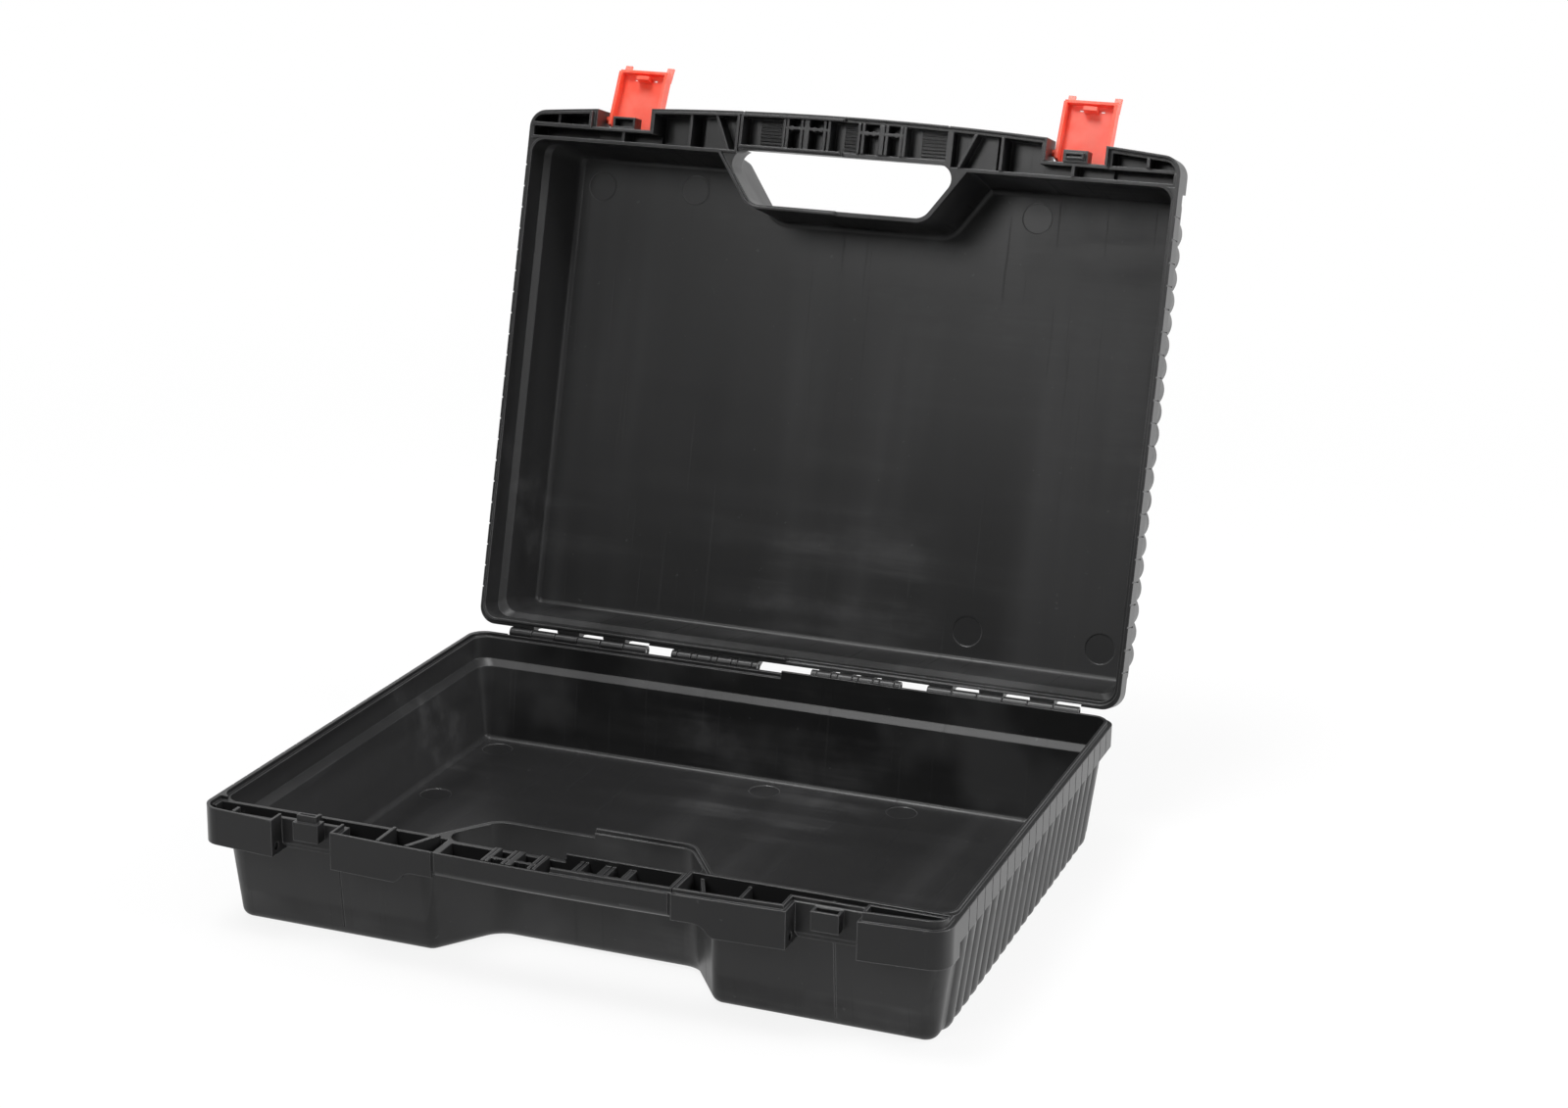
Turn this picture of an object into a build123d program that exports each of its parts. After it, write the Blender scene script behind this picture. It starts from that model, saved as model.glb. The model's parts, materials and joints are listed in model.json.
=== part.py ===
"""Carrying case with a hinged lid: two moulded halves, two swing latches and four hinge pins.

Millimetres. The origin is on the flat underside, below the middle of the rim, +Z up and front at -Y.
The lid stands open against its stop and both latches are swung up.
Both halves come from one design, written in a frame of its own: the mating plane is z = 0, the
shell goes down from it, and the lid is that half turned over about the front-to-back line.
"""

import os
from math import cos, radians, sin, sqrt, tan

from build123d import *

# Overall size of each half
case_width = 380.0
case_depth = 296.0
front_bow = 9.0
base_height = 63.5
lid_height = 55.0
corner_radius = 10.0
mating_gap = 0.3

# Walls
rim_wall = 3.8
front_wall = 3.0
body_wall = 2.4
inner_wall = 2.0

# Rim band, its lower chamfer and the tapered body below it
band_height = 12.0
band_foot = 18.0
band_step = 4.2
body_draft = 6.8
body_front = 137.0
body_corner_radius = 12.0
underside_radius = 5.0

# Tray
ledge_top = 15.0
ledge_depth = 18.5
ledge_width = 3.2
tray_front = 132.0
tray_corner_radius = 8.0
tray_floor_radius = 3.0

# Tongue on the right of each half and the rebate for it on the left
tongue_height = 2.0
corner_tongue_height = 4.0
tongue_wall = 1.4
tongue_clearance = 0.4

# Hand bay through the front, with the grip in front of it
bay_rear = 105.0
bay_rear_half = 50.0
bay_slope = 1.42
bay_front = 135.0
bay_draft = 3.0
bay_rear_radius = 9.0
bay_front_radius = 8.0
bay_lobe_radius = 7.0

# Front skirt and grip
skirt_height = 19.0
skirt_floor = 2.0
skirt_rear = 130.0
grip_height = 13.0
grip_half = 60.0
grip_round = 4.5
grip_rear_wall = 2.4
grip_pocket_half = 59.0
grip_shoulder_in = 71.0
grip_shoulder_out = 84.0
grip_groove_width = 1.4
grip_groove_depth = 1.0

# Pockets along the front, and their ribs
pocket_rear = 134.0
side_pocket_start = 62.5
shallow_pocket_end = 86.0
channel_depth = 13.0
rib_wall = 1.6
rib_drop = 0.5
corner_rib_x = 172.0
channel_rib_x = 131.5
middle_rib_x = 91.0
slant_rib_front_x = 80.0
slant_rib_rear_x = 66.5
grip_ribs = (-35.2, -24.9, -21.2, -11.3, 8.8, 22.6, 33.2)
grip_tees = ((-35.2, -26.5), (-21.2, -12.9), (8.8, 16.4), (22.6, 33.2))
grip_tee_setback = 8.2
grip_bosses = (-30.5, -17.4, 13.5)
grip_boss_radius = 1.3
ridge_zones = ((-59.0, -42.7), (-10.9, 2.3), (35.2, 52.0))
ridge_count = 7
ridge_height = 0.8
ridge_pitch = 1.9
ridge_wall = 0.9

# Latch recesses, catches and pivot holes
recess_x = 132.0
recess_width = 33.0
recess_back = 141.5
recess_wall = 3.0
recess_slope_top = 15.0
catch_width = 13.5
catch_depth = 6.5
catch_height = 10.0
catch_wall = 1.15
key_height = 3.0
key_wall = 1.0
key_floor = 1.5
pivot_drop = 15.0
pivot_y = 147.0
pivot_radius = 2.0
pivot_clearance = 0.05
pivot_hole_depth = 1.9
pivot_end_gap = 0.2

# Latch
latch_width = 30.0
latch_length = 31.5
latch_tail = 3.2
latch_front = 6.0
latch_wall = 1.7
latch_depth = 8.0
latch_hook_width = 7.5
latch_hook_reach = 2.6
latch_hook_gap = 0.5
latch_hook_height = 2.2
latch_slot_width = 2.2
latch_slot_height = 1.1
latch_slot_spread = 12.0
latch_end_depth = 6.0
latch_edge_radius = 1.0
latch_horn_width = 4.0
latch_horn_length = 4.6
latch_horn_flare = 1.4
latch_open_angle = 105.0

# Hinge
hinge_offset = 3.3
barrel_radius = 3.0
barrel_gap = 0.6
outer_group_start = 83.5
outer_knuckle_pitch = 14.3
outer_knuckles = 6
inner_group_start = 16.0
long_knuckle = 8.0
short_knuckle = 3.0
inner_longs = 4
knuckle_web = 9.0
knuckle_web_top = 0.9
hinge_pin_radius = 1.5
hinge_pin_clearance = 0.05
hinge_pin_end = 0.5
stop_gap = 0.1
stop_heel = 3.0
knuckle_relief = 1.4
lid_open_angle = 104.65

# Side ribs
side_rib_pitch = 12.2
side_rib_count = 20
side_rib_first_y = 121.0
side_rib_height = 1.8
side_groove_depth = 0.5

# Ejector marks and witness lines
ejector_radius = 8.5
ejector_depth = 0.3
witness_width = 0.8
witness_depth = 0.4
witness_x = (-121.0, 133.0)
base_ejectors = ((-164, 46), (164, 46), (-164, 122), (0, 122), (80, 122))
lid_ejectors = ((105, -114), (164, -112), (-101, -114), (-87, 120), (-164, 120))

# Values worked out from those above
half_width = case_width / 2
half_depth = case_depth / 2
front_radius = (half_width**2 + front_bow**2) / (2 * front_bow)
front_centre = front_radius - half_depth - front_bow
rim_top = -mating_gap / 2
hinge_y = half_depth + hinge_offset
front_reach = half_depth + front_bow + 8
grip_pocket_rear = bay_front + grip_rear_wall
recess_in = recess_x - recess_width / 2 - recess_wall
recess_out = recess_x + recess_width / 2 + recess_wall
turn = radians(lid_open_angle)
swing = radians(lid_open_angle + latch_open_angle)


def front_y(x, inset=0.0):
    """Y of the bowed front face at x, or of a line inset behind it."""
    return front_centre - sqrt((front_radius - inset) ** 2 - x**2)


def patch(near, far, rear, front, margin=0.0, sides=(-1, 1), mode=Mode.ADD):
    """Rectangles from near to far across and from rear to front, on the sides named."""
    for side in sides:
        with Locations((side * (near + far) / 2, -(rear + front) / 2)):
            Rectangle(far - near + 2 * margin, front - rear + 2 * margin, mode=mode)


def rim_outline(inset, radius, front_extra=0.0):
    """Face of the outer outline: three straight sides and a bowed front, all moved in by inset."""
    x = half_width - inset
    back = half_depth - inset
    front_inset = inset + front_extra
    with BuildSketch(Plane.XY) as outline:
        with BuildLine():
            Line((x, front_y(x, front_inset)), (x, back))
            Line((x, back), (-x, back))
            Line((-x, back), (-x, front_y(x, front_inset)))
            ThreePointArc(
                (-x, front_y(x, front_inset)),
                (0, front_y(0, front_inset)),
                (x, front_y(x, front_inset)),
            )
        make_face()
        fillet(outline.vertices(), radius)
    return outline.sketch


def body_outline(inset, radius):
    """Face of the body under the band: straight on all four sides, moved in by inset."""
    back = half_depth - inset
    front = body_front + band_step - inset
    with BuildSketch(Plane.XY) as outline:
        with Locations((0, (back - front) / 2)):
            Rectangle(case_width - 2 * inset, back + front)
        fillet(outline.vertices(), radius)
    return outline.sketch


def bay_outline():
    """Face of the hand bay at the mating plane."""
    front_half = bay_rear_half + (bay_front - bay_rear) / bay_slope
    with BuildSketch(Plane.XY) as bay:
        with BuildLine():
            Polyline(
                (-bay_rear_half, -bay_rear),
                (bay_rear_half, -bay_rear),
                (front_half, -bay_front),
                (-front_half, -bay_front),
                close=True,
            )
        make_face()
        fillet(bay.vertices().group_by(Axis.Y)[-1], bay_rear_radius)
        fillet(bay.vertices().group_by(Axis.Y)[0], bay_front_radius)
    return bay.sketch


def bay_growth(depth):
    """How much the bay has widened at a depth below the mating plane."""
    return depth * tan(radians(bay_draft))


def open_bay_outline(margin):
    """Face of the bay with its sides run straight out through the front, widened by margin."""
    front_half = bay_rear_half + (front_reach - bay_rear) / bay_slope
    with BuildSketch(Plane.XY) as bay:
        with BuildLine():
            Polyline(
                (-bay_rear_half, -bay_rear),
                (bay_rear_half, -bay_rear),
                (front_half, -front_reach),
                (-front_half, -front_reach),
                close=True,
            )
        make_face()
        fillet(bay.vertices().group_by(Axis.Y)[-1], bay_rear_radius)
        offset(amount=margin, kind=Kind.ARC)
    return bay.sketch


def tray_rectangle(inset, margin=0.0):
    """Face of the tray's rounded rectangle: its sides and back moved in by inset from the rim's."""
    back = half_depth - inset
    front = tray_front + margin
    with BuildSketch(Plane.XY) as rectangle:
        with Locations((0, (back - front) / 2)):
            Rectangle(case_width - 2 * inset, back + front)
        fillet(rectangle.vertices(), tray_corner_radius + margin)
    return rectangle.sketch


def tray_outline(margin=0.0):
    """Face of the tray at the mating plane, grown by margin and clear of the wall round the bay."""
    with BuildSketch(Plane.XY) as tray:
        add(tray_rectangle(rim_wall - margin, margin))
        add(open_bay_outline(body_wall - margin), mode=Mode.SUBTRACT)
    return tray.sketch


def pocket_limit(margin):
    """Face inside the rim's walls, which bounds the pockets, grown by margin."""
    radius = corner_radius - rim_wall + margin
    return rim_outline(rim_wall - margin, radius, front_wall - rim_wall)


def pocket_outlines(margin=0.0):
    """Faces of the pockets along the front at the mating plane, grown by margin."""
    with BuildSketch(Plane.XY) as pockets:
        patch(recess_out, half_width, recess_back, front_reach, margin)
        patch(recess_in, half_width, pocket_rear, recess_back - inner_wall, margin)
        patch(side_pocket_start, recess_in, pocket_rear, front_reach, margin)
        patch(-grip_pocket_half, grip_pocket_half, grip_pocket_rear, front_reach, margin, (1,))
        add(pocket_limit(margin), mode=Mode.INTERSECT)
    return pockets.sketch


def rib_outlines():
    """Faces of the ribs and bosses that cross the pockets."""
    with BuildSketch(Plane.XY) as ribs:
        for x, rear in ((middle_rib_x, pocket_rear), (channel_rib_x, pocket_rear), (corner_rib_x, recess_back)):
            patch(x - rib_wall / 2, x + rib_wall / 2, rear, front_reach)
        for x in grip_ribs:
            patch(x - rib_wall / 2, x + rib_wall / 2, pocket_rear, front_reach, sides=(1,))
        for x0, x1 in grip_tees:
            tee = half_depth + front_bow - grip_tee_setback
            patch(x0, x1, tee - rib_wall / 2, tee + rib_wall / 2, sides=(1,))
        with Locations(*[(x, -half_depth - front_bow + grip_tee_setback) for x in grip_bosses]):
            Circle(grip_boss_radius)
        with BuildLine():
            slant = Polyline(
                (slant_rib_front_x, -front_reach + front_wall),
                (slant_rib_rear_x, -pocket_rear + inner_wall),
            )
            offset(slant, amount=rib_wall / 2, side=Side.BOTH)
        make_face()
        mirror(about=Plane.YZ)
    return ribs.sketch


def outer_body(height):
    """Solid of a half before it is hollowed, with the hand bay cut through it."""
    body_height = height - band_foot
    with BuildPart() as body:
        with BuildSketch(Plane.XY.offset(-band_foot)):
            add(body_outline(band_step, body_corner_radius))
        extrude(amount=-body_height, taper=body_draft)
        with BuildSketch(Plane.XY.offset(-band_foot)):
            add(open_bay_outline(bay_growth(band_foot)))
        extrude(amount=-body_height, taper=-bay_draft, mode=Mode.SUBTRACT)
        lobes = body.edges().filter_by_position(Axis.X, -half_width / 2, half_width / 2)
        lobes = lobes.filter_by_position(Axis.Y, -body_front - 1, -body_front + 10)
        lobes = lobes.filter_by(lambda edge: edge.bounding_box().size.Z > body_height / 2)
        fillet(lobes, bay_lobe_radius)
        fillet(body.edges().group_by(Axis.Z)[0], underside_radius)
    return body.part


def closed_bay(height):
    """Solid of the bay behind the grip, from the mating plane to below the front skirt."""
    with BuildPart() as bay:
        with BuildSketch(Plane.XY):
            add(bay_outline())
        extrude(amount=-skirt_height, taper=-bay_draft)
        with BuildSketch(Plane.XY):
            patch(-half_width, half_width, bay_front, front_reach, sides=(1,))
        extrude(amount=-skirt_height, mode=Mode.SUBTRACT)
        with BuildSketch(Plane.XY.offset(-skirt_height + 1)):
            add(open_bay_outline(bay_growth(skirt_height - 1)))
        extrude(amount=-height + skirt_height - 1, taper=-bay_draft)
        with BuildSketch(Plane.XY):
            patch(-half_width, half_width, bay_front, front_reach, sides=(1,))
        extrude(amount=-skirt_height, mode=Mode.SUBTRACT)
    return bay.part


def grip_arch():
    """Solid under the grip: the skirt's underside rises to the grip's on either side."""
    middle = (grip_shoulder_in + grip_shoulder_out) / 2
    with BuildPart() as arch:
        with BuildSketch(Plane.XZ.offset(bay_front)):
            with BuildLine():
                low = (grip_shoulder_out, -skirt_height - 0.5)
                half_way = (middle, -(grip_height + skirt_height + 0.5) / 2)
                high = (grip_shoulder_in, -grip_height)
                TangentArc(high, half_way, tangent=(1, 0))
                TangentArc(low, half_way, tangent=(-1, 0))
                Polyline(low, (low[0], low[1] - 1), (0, low[1] - 1), (0, high[1]), high)
            make_face()
            mirror(about=Plane.YZ)
        extrude(amount=front_reach - bay_front)
    return arch.part


def grip_bar():
    """Solid of the grip between its two grooves, rounded along its underside."""
    with BuildPart() as bar:
        with BuildSketch(Plane.XY.offset(rim_top)):
            add(rim_outline(0, corner_radius))
            patch(-grip_half, grip_half, bay_front, front_reach, sides=(1,), mode=Mode.INTERSECT)
        extrude(amount=-grip_height - rim_top)
        under = bar.edges().group_by(Axis.Z)[0].filter_by(Axis.Y, reverse=True)
        fillet(under, grip_round)
    return bar.part


def grip_grooves():
    """Solid of the two grooves that part the grip from the skirt, down the front and under."""
    front = front_y(grip_half)
    with BuildPart() as grooves:
        with BuildSketch(Plane.XY):
            with Locations((grip_half, front), (-grip_half, front)):
                Rectangle(grip_groove_width, 2 * grip_groove_depth)
        extrude(amount=-grip_height)
        with BuildSketch(Plane.XZ.offset(bay_front)):
            with Locations((grip_half, -grip_height), (-grip_half, -grip_height)):
                Rectangle(grip_groove_width, 2 * grip_groove_depth)
        extrude(amount=-front - bay_front)
    return grooves.part


def tray_core(height):
    """Solid of the space inside the tray, clear of the wall round the bay."""
    floor = height - body_wall
    with BuildPart() as core:
        with BuildSketch(Plane.XY):
            add(tray_rectangle(rim_wall))
        extrude(amount=-ledge_top)
        with BuildSketch(Plane.XY.offset(-ledge_top)):
            add(tray_rectangle(rim_wall))
        with BuildSketch(Plane.XY.offset(-ledge_depth)):
            add(tray_rectangle(rim_wall + ledge_width))
        loft()
        with BuildSketch(Plane.XY.offset(-ledge_depth)):
            add(tray_rectangle(rim_wall + ledge_width))
        extrude(amount=-floor + ledge_depth, taper=body_draft)
        with BuildSketch(Plane.XY.offset(1)):
            add(open_bay_outline(body_wall))
        extrude(amount=-floor - 2, taper=-bay_draft, mode=Mode.SUBTRACT)
        fillet(core.edges().group_by(Axis.Z)[0], tray_floor_radius)
    return core.part


def front_pockets():
    """Solid of the pockets along the front, with their ribs left standing."""
    with BuildPart() as pockets:
        with BuildSketch(Plane.XY):
            add(pocket_outlines())
        extrude(amount=-rib_drop)
        with BuildSketch(Plane.XY):
            add(pocket_outlines())
            add(rib_outlines(), mode=Mode.SUBTRACT)
        extrude(amount=-skirt_height + skirt_floor)
        with BuildSketch(Plane.XY.offset(-skirt_height)):
            patch(-shallow_pocket_end, shallow_pocket_end, pocket_rear, front_reach, sides=(1,))
        extrude(amount=skirt_height - grip_height + skirt_floor, mode=Mode.SUBTRACT)
        with BuildSketch(Plane.XY.offset(-skirt_height)):
            patch(recess_in, recess_out, pocket_rear, recess_back)
        extrude(amount=skirt_height - channel_depth, mode=Mode.SUBTRACT)
        with BuildSketch(Plane.XY.offset(-grip_height + skirt_floor)):
            for x0, x1 in ridge_zones:
                for i in range(ridge_count):
                    near = grip_pocket_rear + (i + 1) * ridge_pitch
                    patch(x0, x1, near, near + ridge_wall, sides=(1,))
        extrude(amount=ridge_height, mode=Mode.SUBTRACT)
    return pockets.part


def latch_recesses():
    """Solid of the two latch recesses, each running out below through a slope."""
    half = recess_width / 2
    with BuildPart() as recesses:
        with BuildSketch(Plane.XY):
            patch(recess_x - half, recess_x + half, recess_back, front_reach)
        extrude(amount=-skirt_height)
        for side in (-1, 1):
            with BuildSketch(Plane.YZ.offset(side * recess_x - half)):
                with BuildLine():
                    Polyline(
                        (-recess_back - 1, -recess_slope_top),
                        (-recess_back, -recess_slope_top),
                        (-body_front, -skirt_height),
                        (-recess_back - 1, -skirt_height),
                        close=True,
                    )
                make_face()
            extrude(amount=recess_width)
            with BuildSketch(Plane.YZ.offset(side * recess_x - half - pivot_hole_depth)):
                with Locations((-pivot_y, -pivot_drop)):
                    Circle(pivot_radius + pivot_clearance)
            extrude(amount=recess_width + 2 * pivot_hole_depth)
    return recesses.part


def catches():
    """Solid of the two catch boxes: a key stands up on the left one, the right one is its socket."""
    centre = recess_back + catch_depth / 2
    hole_width = catch_width - 2 * catch_wall
    hole_depth = catch_depth - 2 * catch_wall
    with BuildPart() as boxes:
        with BuildSketch(Plane.XY.offset(-rib_drop)):
            half = catch_width / 2
            patch(recess_x - half, recess_x + half, recess_back - 1, recess_back + catch_depth)
        extrude(amount=-catch_height + rib_drop)
        with BuildSketch(Plane.XY):
            with Locations((recess_x, -centre)):
                Rectangle(hole_width, hole_depth)
        extrude(amount=-catch_height + key_floor, mode=Mode.SUBTRACT)
        with BuildSketch(Plane.XY.offset(key_height)):
            with Locations((-recess_x, -centre)):
                Rectangle(hole_width - 2 * tongue_clearance, hole_depth - 2 * tongue_clearance)
                offset(amount=-key_wall, mode=Mode.SUBTRACT)
        extrude(amount=-key_height - catch_height / 2)
    return boxes.part


def tongues():
    """Solid of the tongues that stand up along the right half of the rim and its pockets."""
    with BuildPart() as ridges:
        with BuildSketch(Plane.XY.offset(-rib_drop)):
            add(tray_outline(tongue_wall))
            add(pocket_outlines(tongue_wall))
            add(tray_outline(), mode=Mode.SUBTRACT)
            add(pocket_outlines(), mode=Mode.SUBTRACT)
            patch(tongue_clearance, half_width, -half_depth, front_reach, 0, (1,), Mode.INTERSECT)
        extrude(amount=tongue_height + rib_drop)
        with BuildSketch(Plane.XY.offset(-rib_drop)):
            patch(recess_out, half_width, recess_back, front_reach, tongue_wall, (1,))
            add(pocket_limit(tongue_wall), mode=Mode.INTERSECT)
            add(pocket_outlines(), mode=Mode.SUBTRACT)
        extrude(amount=corner_tongue_height + rib_drop)
    return ridges.part


def rebates():
    """Solid of the steps cut in the left half of the rim for the other half's tongues."""
    width = tongue_wall + tongue_clearance
    with BuildPart() as steps:
        with BuildSketch(Plane.XY):
            add(open_bay_outline(body_wall))
            front = (-half_width, half_width, grip_pocket_rear, 2 * front_reach)
            patch(*front, sides=(1,), mode=Mode.SUBTRACT)
            add(tray_outline(width))
            add(pocket_outlines(width))
            patch(recess_in, recess_out, pocket_rear, recess_back)
            add(pocket_outlines(), mode=Mode.SUBTRACT)
            patch(0, half_width, -half_depth, front_reach, 0, (-1,), Mode.INTERSECT)
        extrude(amount=-tongue_height - mating_gap)
        with BuildSketch(Plane.XY):
            rear = recess_back - inner_wall + width
            patch(recess_out, half_width, rear, front_reach, width, (-1,))
            add(pocket_limit(width), mode=Mode.INTERSECT)
            add(pocket_outlines(), mode=Mode.SUBTRACT)
        extrude(amount=-corner_tongue_height - mating_gap)
    return steps.part


def hinge_spans():
    """Spans across of this half's outer knuckles, and of the other half's in this half's frame."""
    own = []
    other = []
    width = outer_knuckle_pitch - barrel_gap
    for k in range(outer_knuckles):
        start = outer_group_start + k * outer_knuckle_pitch
        left = (-start - width, -start)
        right = (start, start + width)
        own.append(left if k % 2 == 0 else right)
        other.append(right if k % 2 == 0 else left)
    return own, other


def inner_spans():
    """Spans of the long and short knuckles of an inner group, measured out from the middle."""
    longs = []
    shorts = []
    start = inner_group_start
    for k in range(2 * inner_longs + 1):
        width = short_knuckle if k % 2 == 0 else long_knuckle
        (shorts if k % 2 == 0 else longs).append((start, start + width))
        start += width + barrel_gap
    return longs, shorts


def knuckle(x0, x1, heel):
    """Solid of one knuckle from x0 to x1, with its web, and with the heel that stops the lid."""
    with BuildPart() as barrel:
        with BuildSketch(Plane.YZ.offset(x0)):
            with BuildLine():
                Polyline(
                    (half_depth - 1, -knuckle_web_top),
                    (hinge_y, -knuckle_web_top),
                    (hinge_y, -barrel_radius),
                    (half_depth - 1, -knuckle_web),
                    close=True,
                )
            make_face()
            with Locations((hinge_y, 0)):
                Circle(barrel_radius)
                if heel:
                    face = hinge_offset - stop_gap
                    rise = radians(180 - lid_open_angle)
                    foot = (face * cos(rise), face * sin(rise))
                    tip = (foot[0] + stop_heel * sin(rise), foot[1] - stop_heel * cos(rise))
                    Polygon((0, 0), foot, tip, (tip[0], -1), (0, -1), align=None)
        extrude(amount=x1 - x0)
    return barrel.part


def hinge_knuckles():
    """Solid of all of a half's knuckles, bored for the pins."""
    outer, _ = hinge_spans()
    longs, shorts = inner_spans()
    reach = outer_group_start + outer_knuckles * outer_knuckle_pitch
    with BuildPart() as knuckles:
        for x0, x1 in outer:
            add(knuckle(x0, x1, heel=False))
        for x0, x1 in longs:
            add(knuckle(-x1, -x0, heel=True))
        for x0, x1 in shorts:
            add(knuckle(x0, x1, heel=False))
        with BuildSketch(Plane.YZ.offset(-reach)):
            with Locations((hinge_y, 0)):
                Circle(hinge_pin_radius + hinge_pin_clearance)
        extrude(amount=2 * reach, mode=Mode.SUBTRACT)
    return knuckles.part


def knuckle_reliefs():
    """Solid of the notches in the back that clear the other half's outer knuckles."""
    _, other = hinge_spans()
    with BuildPart() as notches:
        with BuildSketch(Plane.XY):
            for x0, x1 in other:
                with Locations(((x0 + x1) / 2, half_depth)):
                    Rectangle(x1 - x0 + 2 * barrel_gap, 2 * knuckle_relief)
        extrude(amount=-band_height)
    return notches.part


def scallops():
    """Faces of the ribs' cross-sections: X runs out from the centre of the lower edge's bend."""
    half = side_rib_pitch / 2
    start = side_rib_first_y + half
    end = start - side_rib_count * side_rib_pitch
    face = underside_radius
    with BuildSketch() as sections:
        with BuildLine():
            for i in range(side_rib_count):
                y = side_rib_first_y - i * side_rib_pitch
                ThreePointArc((face, y + half), (face + side_rib_height, y), (face, y - half))
            Polyline((face, end), (face - 1, end), (face - 1, start), (face, start))
        make_face()
    return sections.sketch


def side_ribs(height):
    """Solid of the scalloped ribs down both sides, turned in round the lower edge."""
    lean = radians(body_draft)
    rise = height - underside_radius - band_height - 1
    bend_x = half_width - band_step - (height - band_foot - underside_radius) * tan(lean)
    bend = (bend_x - underside_radius / cos(lean), 0, -height + underside_radius)
    side = Plane(bend, x_dir=(cos(lean), 0, -sin(lean)), z_dir=(sin(lean), 0, cos(lean)))
    with BuildPart() as ribs:
        with BuildSketch(side):
            add(scallops())
        extrude(amount=rise / cos(lean))
        with BuildSketch(side):
            add(scallops())
        revolve(axis=Axis(bend, (0, 1, 0)), revolution_arc=90 - body_draft)
        split(bisect_by=Plane.XY.offset(-height))
        mirror(about=Plane.YZ)
    return ribs.part


def band_grooves():
    """Solid of the faint grooves down the sides of the band, in line with the ribs' valleys."""
    start = side_rib_first_y + side_rib_pitch / 2
    places = [start - i * side_rib_pitch for i in range(side_rib_count + 1)]
    with BuildPart() as grooves:
        with BuildSketch(Plane.XY):
            with Locations(*[(side * half_width, y) for y in places for side in (-1, 1)]):
                Rectangle(2 * side_groove_depth, witness_width)
        extrude(amount=-band_height)
    return grooves.part


def witness_lines(height):
    """Solid of the mould's parting lines, cut down the front of the body."""
    lean = radians(body_draft)
    front = body_front - (skirt_height - band_foot) * tan(lean)
    with BuildPart() as lines:
        with BuildSketch(Plane.XY.offset(-skirt_height)):
            with Locations(*[(x, -front) for x in witness_x]):
                Rectangle(witness_width, 2 * witness_depth)
        length = height - skirt_height - underside_radius
        extrude(amount=length / cos(lean), dir=(0, sin(lean), -cos(lean)))
    return lines.part


def moulded_half(height, ejector_places):
    """Solid of the base or the lid, in the half's own frame."""
    with BuildPart() as half:
        add(outer_body(height))
        with BuildSketch(Plane.XY.offset(rim_top)):
            add(rim_outline(0, corner_radius))
        extrude(amount=-band_height - rim_top)
        with BuildSketch(Plane.XY.offset(-band_height)):
            add(body_outline(0, corner_radius))
        with BuildSketch(Plane.XY.offset(-band_foot)):
            add(body_outline(band_step, body_corner_radius))
        loft()
        with BuildSketch(Plane.XY.offset(-band_height)):
            add(rim_outline(0, corner_radius))
            patch(-half_width, half_width, skirt_rear, front_reach, sides=(1,), mode=Mode.INTERSECT)
        extrude(amount=-skirt_height + band_height)
        add(side_ribs(height))
        add(closed_bay(height), mode=Mode.SUBTRACT)
        add(grip_arch(), mode=Mode.SUBTRACT)
        with BuildSketch(Plane.XY):
            patch(-grip_half, grip_half, bay_front, front_reach, sides=(1,))
        extrude(amount=-skirt_height, mode=Mode.SUBTRACT)
        add(grip_bar())
        add(grip_grooves(), mode=Mode.SUBTRACT)
        add(tray_core(height), mode=Mode.SUBTRACT)
        add(front_pockets(), mode=Mode.SUBTRACT)
        add(latch_recesses(), mode=Mode.SUBTRACT)
        add(catches())
        add(rebates(), mode=Mode.SUBTRACT)
        add(tongues())
        add(knuckle_reliefs(), mode=Mode.SUBTRACT)
        add(hinge_knuckles())
        add(band_grooves(), mode=Mode.SUBTRACT)
        add(witness_lines(height), mode=Mode.SUBTRACT)
        with BuildSketch(Plane.XY.offset(-height + body_wall)):
            with Locations(*ejector_places):
                Circle(ejector_radius)
        extrude(amount=-ejector_depth, mode=Mode.SUBTRACT)
    return half.part


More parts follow.
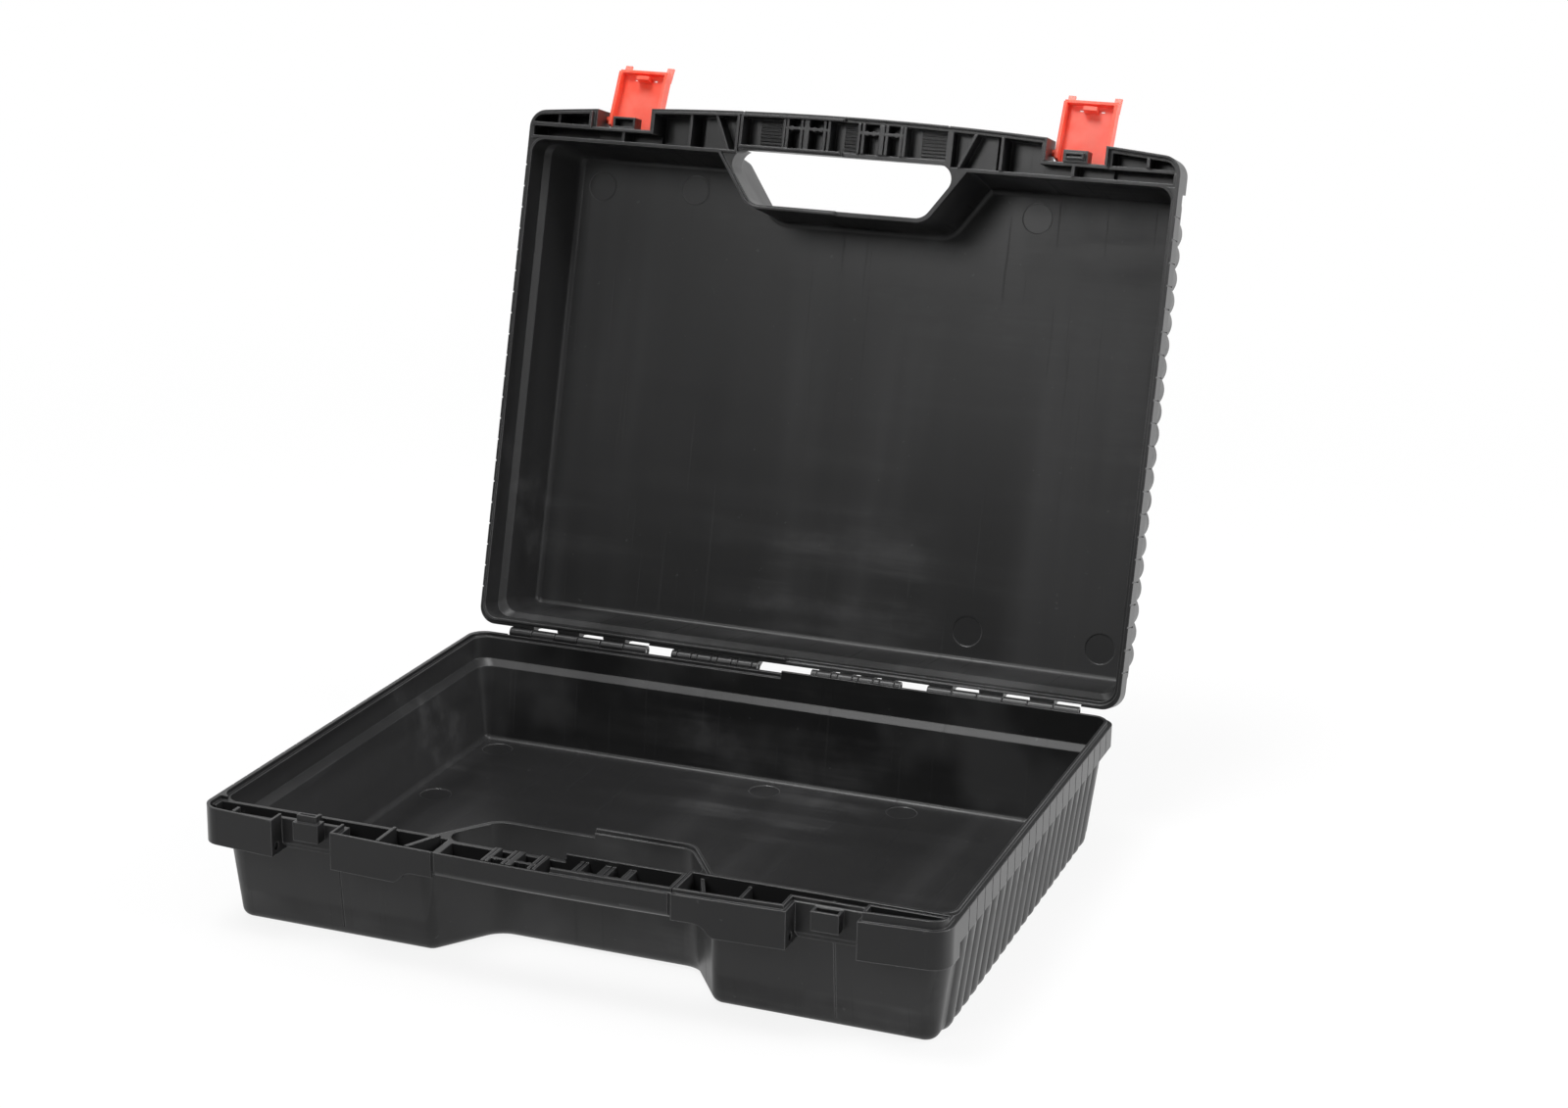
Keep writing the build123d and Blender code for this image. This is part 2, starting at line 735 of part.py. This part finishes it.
def latch():
    """Solid of one latch: Z runs from the pivot to the free end, Y points in at the case."""
    half = latch_width / 2
    stub = recess_width / 2 + pivot_hole_depth - pivot_end_gap
    hook = catch_height + pivot_drop + latch_hook_gap
    hook_end = pivot_y - recess_back - catch_depth + latch_hook_reach
    plate = latch_wall - latch_front
    with BuildPart() as body:
        with BuildSketch(Plane.XY.offset(-latch_tail)):
            with Locations((0, latch_depth / 2 - latch_front)):
                Rectangle(latch_width, latch_depth)
        extrude(amount=latch_length + latch_tail)
        fillet(body.edges().group_by(Axis.Y)[0], latch_edge_radius)
        with BuildSketch(Plane.XY.offset(-latch_tail)):
            with Locations((0, plate + latch_depth / 2)):
                Rectangle(latch_width - 2 * latch_wall, latch_depth)
        extrude(amount=latch_length + latch_tail - latch_wall, mode=Mode.SUBTRACT)
        with BuildSketch(Plane.XY.offset(latch_length - latch_wall)):
            with Locations((0, latch_end_depth - latch_front + latch_depth / 2)):
                Rectangle(latch_width, latch_depth)
        extrude(amount=latch_wall, mode=Mode.SUBTRACT)
        with BuildSketch(Plane.XY.offset(hook)):
            with Locations((0, (hook_end + plate - 1) / 2)):
                Rectangle(latch_hook_width, hook_end - plate + 1)
        extrude(amount=latch_hook_height)
        with BuildSketch(Plane.XY.offset(hook + latch_hook_height)):
            with Locations((-latch_slot_spread / 2, plate), (latch_slot_spread / 2, plate)):
                Rectangle(latch_slot_width, 3 * latch_wall)
        extrude(amount=-latch_slot_height, mode=Mode.SUBTRACT)
        for side in (-1, 1):
            with BuildSketch(Plane.YZ.offset(side * (half - latch_wall))):
                Circle(pivot_radius)
            extrude(amount=side * (stub - half + latch_wall))
            with BuildSketch(Plane.YZ.offset(side * half)):
                with BuildLine():
                    Polyline(
                        (-latch_front, latch_length - latch_horn_length),
                        (-latch_front - latch_horn_flare, latch_length + latch_horn_length),
                        (plate - latch_horn_flare, latch_length + latch_horn_length),
                        (plate, latch_length - latch_horn_length),
                        close=True,
                    )
                make_face()
            extrude(amount=-side * latch_horn_width)
    return body.part


def hinge_pin(x0, x1):
    """Solid of a pin that ends just short of the span from x0 to x1."""
    with BuildPart() as pin:
        with BuildSketch(Plane.YZ.offset(x0 + hinge_pin_end)):
            with Locations((hinge_y, 0)):
                Circle(hinge_pin_radius)
        extrude(amount=x1 - x0 - 2 * hinge_pin_end)
    return pin.part


def latch_plane(across):
    """Plane at a latch's pivot with the lid open and the latch swung up."""
    origin = lid_plane.from_local_coords((across, -pivot_y, -pivot_drop))
    return Plane(origin=origin, x_dir=(-1, 0, 0), z_dir=(0, -sin(swing), -cos(swing)))


base_plane = Plane.XY.offset(base_height)
lid_plane = Plane(
    origin=(0, hinge_y * (1 - cos(turn)), base_height + hinge_y * sin(turn)),
    x_dir=(-1, 0, 0),
    z_dir=(0, -sin(turn), -cos(turn)),
)
outer_end = outer_group_start + outer_knuckles * outer_knuckle_pitch - barrel_gap
inner_end = inner_spans()[1][-1][1]

with BuildPart(base_plane) as base_shell:
    add(moulded_half(base_height, base_ejectors))

with BuildPart(lid_plane) as lid_shell:
    add(moulded_half(lid_height, lid_ejectors))

with BuildPart(latch_plane(recess_x)) as latch_left:
    add(latch())

with BuildPart(latch_plane(-recess_x)) as latch_right:
    add(latch())

with BuildPart(base_plane) as hinge_pin_outer_left:
    add(hinge_pin(-outer_end, -outer_group_start))

with BuildPart(base_plane) as hinge_pin_inner_left:
    add(hinge_pin(-inner_end, -inner_group_start))

with BuildPart(base_plane) as hinge_pin_inner_right:
    add(hinge_pin(inner_group_start, inner_end))

with BuildPart(base_plane) as hinge_pin_outer_right:
    add(hinge_pin(outer_group_start, outer_end))

pieces = {
    "base_shell": base_shell,
    "lid_shell": lid_shell,
    "latch_left": latch_left,
    "latch_right": latch_right,
    "hinge_pin_outer_left": hinge_pin_outer_left,
    "hinge_pin_inner_left": hinge_pin_inner_left,
    "hinge_pin_inner_right": hinge_pin_inner_right,
    "hinge_pin_outer_right": hinge_pin_outer_right,
}
os.makedirs("parts", exist_ok=True)
for name, piece in pieces.items():
    piece.part.label = name
    export_step(piece.part, f"parts/{name}.step")
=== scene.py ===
"""Carrying case, open, on a pale studio floor. Metres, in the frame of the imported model."""

import json
from math import cos, radians, sin

import bpy
from mathutils import Matrix, Vector

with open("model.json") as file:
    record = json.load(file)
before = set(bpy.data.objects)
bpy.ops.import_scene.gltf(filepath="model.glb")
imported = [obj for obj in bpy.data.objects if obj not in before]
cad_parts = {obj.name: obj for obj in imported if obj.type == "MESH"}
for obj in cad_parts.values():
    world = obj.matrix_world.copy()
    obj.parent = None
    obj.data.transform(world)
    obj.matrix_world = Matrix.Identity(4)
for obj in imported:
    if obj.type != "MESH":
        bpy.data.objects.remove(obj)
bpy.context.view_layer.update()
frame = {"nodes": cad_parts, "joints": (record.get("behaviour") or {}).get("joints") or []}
nodes = frame["nodes"]

# Camera: place and turn found from the corners of the base and the lid in the photograph
camera_place = Vector((0.5166, -1.2426, 0.5810))
camera_yaw = radians(-20.409)
camera_pitch = radians(16.826)
camera_roll = radians(1.115)
photo_width = 1600
focal_pixels = 2882.6
sensor_width = 36.0

# Case plastic: black, grained outside and smoother inside
case_black = (0.0080, 0.0080, 0.0083, 1)
case_dusty = (0.050, 0.050, 0.051, 1)
# The pale edge colour is a painted highlight, stronger where edges are rubbed
case_edge_highlight_and_wear = (0.150, 0.150, 0.152, 1)
plastic_ior = 1.49
grain_size = 0.00045
grain_height = 0.00003

# Edges: how far the light rounds them, and the turn of the normal that counts as an edge
edge_round = 0.0008
edge_facing = (0.995, 0.88)
bevel_samples = 6

# The tray's inside in a half's own frame: reach to the sides, front and back, and the depths
inside_reach = (0.1868, 0.1335, 0.1455)
inside_blur = 0.0002
base_depth = 0.0635
lid_depth = 0.0550
floor_thickness = 0.0030

# Round ejector marks on the tray's floor
mark_radius = 0.0085
mark_blur = 0.0003
base_marks = ((-0.164, 0.046), (0.164, 0.046), (-0.164, 0.122), (0.0, 0.122), (0.080, 0.122))
lid_marks = ((-0.105, -0.114), (-0.164, -0.112), (0.101, -0.114), (0.087, 0.120), (0.164, 0.120))

# Scales of the patterns in the case plastic, across, from front to back and in depth
flow_scale = (14.0, 1.4, 14.0)
wipe_scale = (5.0, 55.0, 55.0)
scratch_scale = (420.0, 9.0, 9.0)
cloud_scale = 9.0
speck_scale = 260.0

# Latch plastic: bright, slightly see-through red
latch_red = (0.99, 0.095, 0.045, 1)
# Pale colour for flow marks and for the painted highlight along the edges
latch_pale_and_edge_highlight = (1.0, 0.250, 0.190, 1)
latch_flow_scale = 60.0
latch_glow = 0.5
latch_glow_colour = (1.0, 0.25, 0.15)
latch_glow_depth = 0.004

# Pin steel: drawn wire with lines along it
steel_dark = (0.50, 0.50, 0.51, 1)
steel_light = (0.62, 0.62, 0.63, 1)
wire_scale = (30.0, 4000.0, 4000.0)

# Studio floor: how white it is kept, where in reflections it turns dim as painted shade for the case's
# front, and where fully white
white = (1, 1, 1, 1)
floor_size = 12.0
floor_grey = (0.86, 0.86, 0.86, 1)
floor_reflected_shade = (0.25, 0.25, 0.25, 1)
floor_white = 0.86
floor_front = 0.15
floor_behind = (-0.22, -0.06)
floor_far = (0.5, 1.5)

# Surroundings as light: strength in front and elsewhere, and the turn from one to the other
world_front = 0.10
world_back = 0.75
world_turn = (-0.95, 0.25)

# Lamps: name, place, size and power, all aimed at the middle of the case
lamp_aim = (0, 0.05, 0.15)
lamps = (
    ("overhead", (-0.4, -0.3, 2.1), 0.9, 26),
    ("front_high", (-0.55, -1.9, 1.45), 0.7, 11),
    ("key_right", (2.1, 0.2, 1.2), 1.2, 30),
)

# Where the lid hinges, and how far it has turned
hinge = frame["joints"][0]
lid_turn = radians(hinge["range_deg"][1])


class Signal:
    """An output socket. Arithmetic on it adds Math nodes to its finish."""

    def __init__(self, finish, socket):
        self.finish = finish
        self.socket = socket

    def __add__(self, other):
        return self.finish.math("ADD", self, other)

    def __sub__(self, other):
        return self.finish.math("SUBTRACT", self, other)

    def __rsub__(self, other):
        return self.finish.math("SUBTRACT", other, self)

    def __mul__(self, other):
        return self.finish.math("MULTIPLY", self, other)

    def __pow__(self, other):
        return self.finish.math("POWER", self, other)

    __radd__ = __add__
    __rmul__ = __mul__


class Finish:
    """The nodes of a material or of the surroundings."""

    def __init__(self, owner, output):
        self.owner = owner
        owner.use_nodes = True
        self.tree = owner.node_tree
        self.tree.nodes.clear()
        self.output = self.tree.nodes.new(output)

    def feed(self, socket, value):
        """Links a signal to a socket, or sets the socket to a value."""
        if isinstance(value, Signal):
            self.tree.links.new(value.socket, socket)
        else:
            socket.default_value = value

    def node(self, kind, settings=None, *values, out=0, **named):
        """Adds a node: its settings first, then values or links for its sockets by place or name."""
        made = self.tree.nodes.new(kind)
        for key, value in (settings or {}).items():
            setattr(made, key, value)
        for index, value in enumerate(values):
            self.feed(made.inputs[index], value)
        for key, value in named.items():
            self.feed(made.inputs[key.replace("_", " ")], value)
        return Signal(self, made.outputs[out])

    def math(self, operation, *values):
        """Adds a Math node, which works on numbers and signals."""
        return self.node("ShaderNodeMath", {"operation": operation}, *values)

    def outputs(self, signal, *keys):
        """Outputs, by place or name, of the node that a signal comes from."""
        return [Signal(self, signal.socket.node.outputs[key]) for key in keys]

    def place(self):
        """Object coordinates, which are the frame's."""
        return self.node("ShaderNodeTexCoord", out="Object")

    def mapped(self, place, **changes):
        """A place moved, turned or scaled."""
        return self.node("ShaderNodeMapping", {"vector_type": "POINT"}, place, **changes)

    def noise(self, place, scale, detail=2.0, roughness=0.5):
        """Noise of a given scale at a place."""
        return self.node(
            "ShaderNodeTexNoise", {"noise_dimensions": "3D"},
            Vector=place, Scale=scale, Detail=detail, Roughness=roughness,
        )

    def step(self, value, low, high, start=0.0, end=1.0):
        """Start below low and end above high, smooth between."""
        settings = {"interpolation_type": "SMOOTHSTEP"}
        return self.node("ShaderNodeMapRange", settings, value, low, high, start, end)

    def blend(self, share, first, second):
        """A colour that goes from first to second as share goes from 0 to 1."""
        settings = {"data_type": "RGBA"}
        return self.node("ShaderNodeMix", settings, Factor=share, A=first, B=second, out="Result")

    def edges(self, radius):
        """Normals rounded over the edges by a radius, and a signal that is 1 on the edges."""
        rounded = self.node("ShaderNodeBevel", {"samples": bevel_samples}, radius)
        true_normal = self.node("ShaderNodeNewGeometry", out="Normal")
        settings = {"operation": "DOT_PRODUCT"}
        facing = self.node("ShaderNodeVectorMath", settings, rounded, true_normal, out="Value")
        return rounded, self.step(facing, *edge_facing)

    def close(self, shader):
        """Ends the nodes with a shader and gives back the material or world they belong to."""
        self.feed(self.output.inputs[0], shader)
        return self.owner


def new_finish(name):
    """A new material's nodes, still empty."""
    return Finish(bpy.data.materials.new(name), "ShaderNodeOutputMaterial")


def inside_tray(f, across, back, depth, height):
    """1 on the faces inside a half's tray and 0 outside it."""
    side, front, rear = inside_reach
    blur = inside_blur
    inside = f.step(f.math("ABSOLUTE", across), side + blur, side - blur)
    inside = inside * f.step(back, -front - blur, -front + blur)
    inside = inside * f.step(back, rear + blur, rear - blur)
    return inside * f.step(depth, height - floor_thickness / 2, height - floor_thickness)


def round_marks(f, across, back, marks):
    """1 within the ejector marks and 0 elsewhere."""
    mark = 0.0
    for x, y in marks:
        away = ((across - x) ** 2.0 + (back - y) ** 2.0) ** 0.5
        mark = f.step(away, mark_radius + mark_blur, mark_radius - mark_blur) + mark
    return mark


def case_plastic(name, place_in_half, height, marks):
    """Black moulded plastic. In its half's frame X is across, Y runs back and Z is the depth."""
    f = new_finish(name)
    place = f.mapped(f.place(), **place_in_half)
    across, back, depth = f.outputs(f.node("ShaderNodeSeparateXYZ", None, place), 0, 1, 2)
    inside = inside_tray(f, across, back, depth, height)
    outside = 1.0 - inside
    mark = round_marks(f, across, back, marks) * inside

    # Flow lines run from front to back, wipe marks across, and dust lies in patches; the pale streaks
    # along the flow are partly flow marks and partly painted reflection bands
    flow = f.noise(f.mapped(place, Scale=flow_scale), 1.0, 3.0, 0.55)
    wipes = f.noise(f.mapped(place, Scale=wipe_scale), 1.0, 4.0, 0.62)
    clouds = f.noise(place, cloud_scale, 5.0, 0.60)
    specks = f.step(f.noise(place, speck_scale), 0.735, 0.775)
    scratches = f.step(f.noise(f.mapped(place, Scale=scratch_scale), 1.0, 1.0), 0.68, 0.72)
    dust = f.step(clouds, 0.55, 0.72) * f.step(wipes, 0.36, 0.66)
    # Pale streaks along the flow, partly painted reflection bands
    streaks_and_reflection_bands = f.step(flow, 0.45, 0.68)
    haze = f.step(wipes, 0.45, 0.75) * f.step(clouds, 0.40, 0.62)

    # Edges are painted paler: a painted highlight along every edge, stronger where they are rubbed in
    # places
    rounded, edge = f.edges(edge_round)
    edge_highlight_and_rub = edge * (0.35 + 0.65 * f.step(clouds, 0.38, 0.62))

    pale = inside * (0.70 * dust + 0.55 * streaks_and_reflection_bands + 0.30 * haze - 0.30 * mark)
    pale = pale + 0.5 * specks + outside * (0.12 + 0.20 * clouds)
    colour = f.blend(pale, case_black, case_dusty)
    colour = f.blend(0.70 * edge_highlight_and_rub, colour, case_edge_highlight_and_wear)
    smooth = 0.12 + 0.36 * flow + 0.14 * wipes + 0.16 * dust + 0.10 * scratches - 0.16 * mark
    roughness = inside * smooth + outside * (0.26 + 0.12 * clouds) - 0.06 * edge_highlight_and_rub
    grain = f.noise(place, 1 / grain_size, 2.0, 0.6) * (1.0 - 0.75 * inside)
    bump = f.node(
        "ShaderNodeBump", None,
        Strength=0.6, Distance=grain_height, Height=grain + 0.6 * wipes - 0.8 * scratches, Normal=rounded,
    )
    shader = f.node(
        "ShaderNodeBsdfPrincipled", None,
        Base_Color=colour, Roughness=roughness, Normal=bump, IOR=plastic_ior,
    )
    return f.close(shader)


def latch_plastic():
    """Bright red moulded plastic, thin enough to glow a little, with a soft sheen."""
    f = new_finish("latch_plastic_red")
    place = f.place()
    grain = f.noise(place, 1 / grain_size, 2.0, 0.6)
    flow = f.noise(place, latch_flow_scale, 3.0)
    rounded, edge = f.edges(edge_round / 2)
    # Pale flow marks, and a painted highlight along the edges
    colour = f.blend(0.5 * f.step(flow, 0.30, 0.72) + 0.5 * edge, latch_red, latch_pale_and_edge_highlight)
    roughness = 0.26 + 0.16 * flow
    bump = f.node(
        "ShaderNodeBump", None,
        Strength=0.3, Distance=grain_height, Height=grain, Normal=rounded,
    )
    shader = f.node(
        "ShaderNodeBsdfPrincipled", None,
        Base_Color=colour, Roughness=roughness, Normal=bump, IOR=plastic_ior,
        Subsurface_Weight=latch_glow, Subsurface_Radius=latch_glow_colour,
        Subsurface_Scale=latch_glow_depth,
    )
    return f.close(shader)


def pin_steel():
    """Drawn steel wire, with fine lines along it."""
    f = new_finish("pin_steel_wire")
    lines = f.noise(f.mapped(f.place(), Scale=wire_scale), 1.0)
    colour = f.blend(lines, steel_dark, steel_light)
    roughness = 0.22 + 0.16 * lines
    shader = f.node(
        "ShaderNodeBsdfPrincipled", None, Base_Color=colour, Roughness=roughness, Metallic=1.0
    )
    return f.close(shader)


def dress(name, material):
    """Gives a CAD node its material."""
    piece = nodes[name]
    if not piece.material_slots:
        piece.data.materials.append(material)
    for slot in piece.material_slots:
        slot.material = material


def dress_case():
    """Gives every piece of the case its material."""
    base_place = {"Location": (0, 0, base_depth), "Scale": (1, 1, -1)}
    turned = Matrix.Rotation(lid_turn, 3, "X") @ Vector(hinge["pos_m"])
    lid_place = {"Location": Vector((0, hinge["pos_m"][1], 0)) - turned, "Rotation": (lid_turn, 0, 0)}
    dress("base_shell", case_plastic("case_plastic_base", base_place, base_depth, base_marks))
    dress("lid_shell", case_plastic("case_plastic_lid", lid_place, lid_depth, lid_marks))
    red = latch_plastic()
    for side in ("left", "right"):
        dress(f"latch_{side}", red)
    steel = pin_steel()
    for pin in ("outer_left", "inner_left", "inner_right", "outer_right"):
        dress(f"hinge_pin_{pin}", steel)


def studio_floor():
    """A pale floor that stays close to white and keeps a soft shadow, and is dim in reflections in front
    as painted shade.
    """
    bpy.ops.object.select_all(action="DESELECT")
    bpy.ops.mesh.primitive_plane_add(size=floor_size, location=(0, 0, 0))
    floor = bpy.context.object
    floor.name = "studio_floor"
    f = new_finish("studio_floor_white")
    rays = ("Is Camera Ray", "Is Glossy Ray", "Is Transmission Ray")
    seen, mirrored, through = f.outputs(f.node("ShaderNodeLightPath"), *rays)
    place = f.place()
    behind = f.step(f.node("ShaderNodeSeparateXYZ", None, place, out="Y"), *floor_behind)
    apart = f.node("ShaderNodeVectorMath", {"operation": "LENGTH"}, place, out="Value")
    far = f.step(apart, *floor_far)
    # In reflections the floor in front is dimmed: painted shade for the case's front
    painted_reflected_shade = mirrored * (1.0 - behind)
    matt = f.node("ShaderNodeBsdfDiffuse", None, f.blend(painted_reflected_shade, floor_grey, floor_reflected_shade))
    glow = f.node("ShaderNodeEmission", None, white, 1.0)
    kept_white = floor_white + (1.0 - floor_white) * far
    share = kept_white * (seen + through) + mirrored - (1.0 - floor_front) * painted_reflected_shade
    floor.data.materials.append(f.close(f.node("ShaderNodeMixShader", None, share, matt, glow)))


def studio_world():
    """Surroundings that are white as seen, and as light are dim in front and white elsewhere."""
    world = bpy.data.worlds.new("studio")
    bpy.context.scene.world = world
    f = Finish(world, "ShaderNodeOutputWorld")
    seen, through = f.outputs(f.node("ShaderNodeLightPath"), "Is Camera Ray", "Is Transmission Ray")
    towards = f.node("ShaderNodeTexCoord", out="Generated")
    towards_back = f.node("ShaderNodeSeparateXYZ", None, towards, out="Y")
    strength = f.step(towards_back, *world_turn, world_front, world_back)
    light = f.node("ShaderNodeBackground", None, white, strength)
    backdrop = f.node("ShaderNodeBackground", None, white, 1.0)
    either = f.math("MAXIMUM", seen, through)
    f.close(f.node("ShaderNodeMixShader", None, either, light, backdrop))


def softbox(name, place, size, power):
    """A square area lamp at a place, turned towards the middle of the case."""
    lamp = bpy.data.lights.new(name, "AREA")
    lamp.shape = "SQUARE"
    lamp.size = size
    lamp.energy = power
    holder = bpy.data.objects.new(name, lamp)
    bpy.context.scene.collection.objects.link(holder)
    holder.location = place
    holder.rotation_euler = (Vector(lamp_aim) - Vector(place)).to_track_quat("-Z", "Y").to_euler()


def photo_camera():
    """The camera at the photograph's place, turn and focal length."""
    level = cos(camera_pitch)
    ahead = Vector((sin(camera_yaw) * level, cos(camera_yaw) * level, -sin(camera_pitch)))
    right = Vector((cos(camera_yaw), -sin(camera_yaw), 0))
    up = right.cross(ahead)
    side = cos(camera_roll) * right + sin(camera_roll) * up
    top = -sin(camera_roll) * right + cos(camera_roll) * up
    lens = bpy.data.cameras.new("photo_camera")
    lens.sensor_fit = "HORIZONTAL"
    lens.sensor_width = sensor_width
    lens.lens = focal_pixels / photo_width * sensor_width
    camera = bpy.data.objects.new("photo_camera", lens)
    bpy.context.scene.collection.objects.link(camera)
    turn = Matrix((side, top, -ahead)).transposed()
    camera.matrix_world = Matrix.Translation(camera_place) @ turn.to_4x4()
    bpy.context.scene.camera = camera


dress_case()
studio_floor()
studio_world()
for lamp_name, lamp_place, lamp_size, lamp_power in lamps:
    softbox(lamp_name, lamp_place, lamp_size, lamp_power)
photo_camera()
bpy.context.scene.view_settings.view_transform = "Standard"
